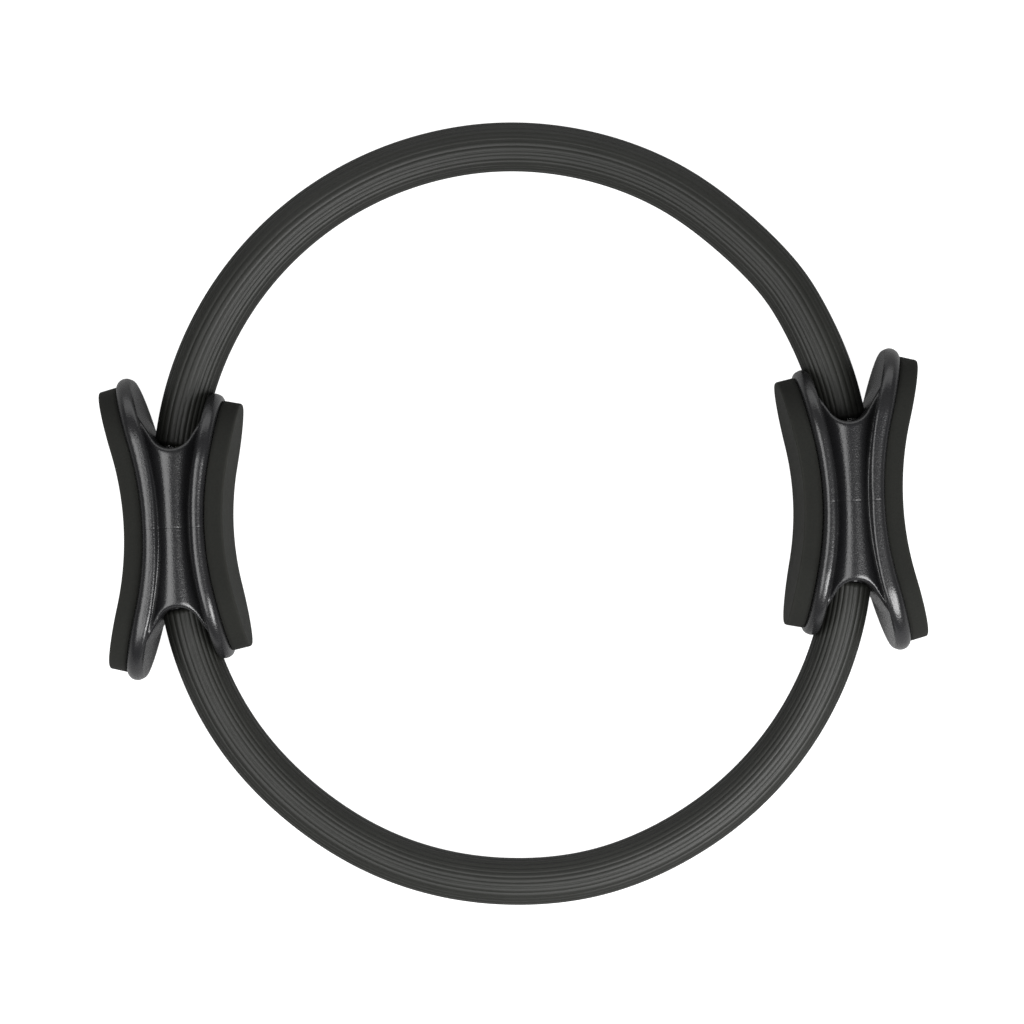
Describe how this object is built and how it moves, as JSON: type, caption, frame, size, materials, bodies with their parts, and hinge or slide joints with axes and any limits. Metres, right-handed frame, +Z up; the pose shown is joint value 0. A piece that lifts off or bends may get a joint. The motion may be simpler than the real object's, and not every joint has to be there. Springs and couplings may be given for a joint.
{
  "type": "pilates ring",
  "caption": "Sprung hoop in ribbed sleeves with padded spool handles on opposite sides, squeezed together or pressed apart for resistance exercise.",
  "frame": {"origin": "on the floor under the middle of the hoop, with the ring lying flat on its flange rims", "axes": "+Z up along the hoop's axis, +X towards the right handle, +Y towards the upper half hoop"},
  "size_m": [0.3826, 0.3662, 0.074],
  "materials": {
    "handle_plastic": "satin",
    "pad_foam": "matte",
    "sleeve_foam": "matte",
    "leaf_fibreglass": "satin",
    "screw_steel": "satin"
  },
  "bodies": {
    "hoop_and_left_handle": {"left_handle_body": "handle_plastic", "left_outer_pad": "pad_foam", "left_inner_pad": "pad_foam", "left_leaf_screws": "screw_steel", "upper_sleeve": "sleeve_foam", "upper_outer_leaf": "leaf_fibreglass", "upper_inner_leaf": "leaf_fibreglass", "lower_sleeve": "sleeve_foam", "lower_outer_leaf": "leaf_fibreglass", "lower_inner_leaf": "leaf_fibreglass"},
    "right_handle": {"right_handle_body": "handle_plastic", "right_outer_pad": "pad_foam", "right_inner_pad": "pad_foam", "right_leaf_screws": "screw_steel"}
  },
  "joints": [
    {"name": "squeeze", "type": "slide", "parent": "hoop_and_left_handle", "child": "right_handle", "axis": [-1, 0, 0], "range_m": [-0.02, 0.06], "stiffness_N_per_m": 1800, "deforming": ["upper_sleeve", "upper_outer_leaf", "upper_inner_leaf", "lower_sleeve", "lower_outer_leaf", "lower_inner_leaf"]}
  ]
}
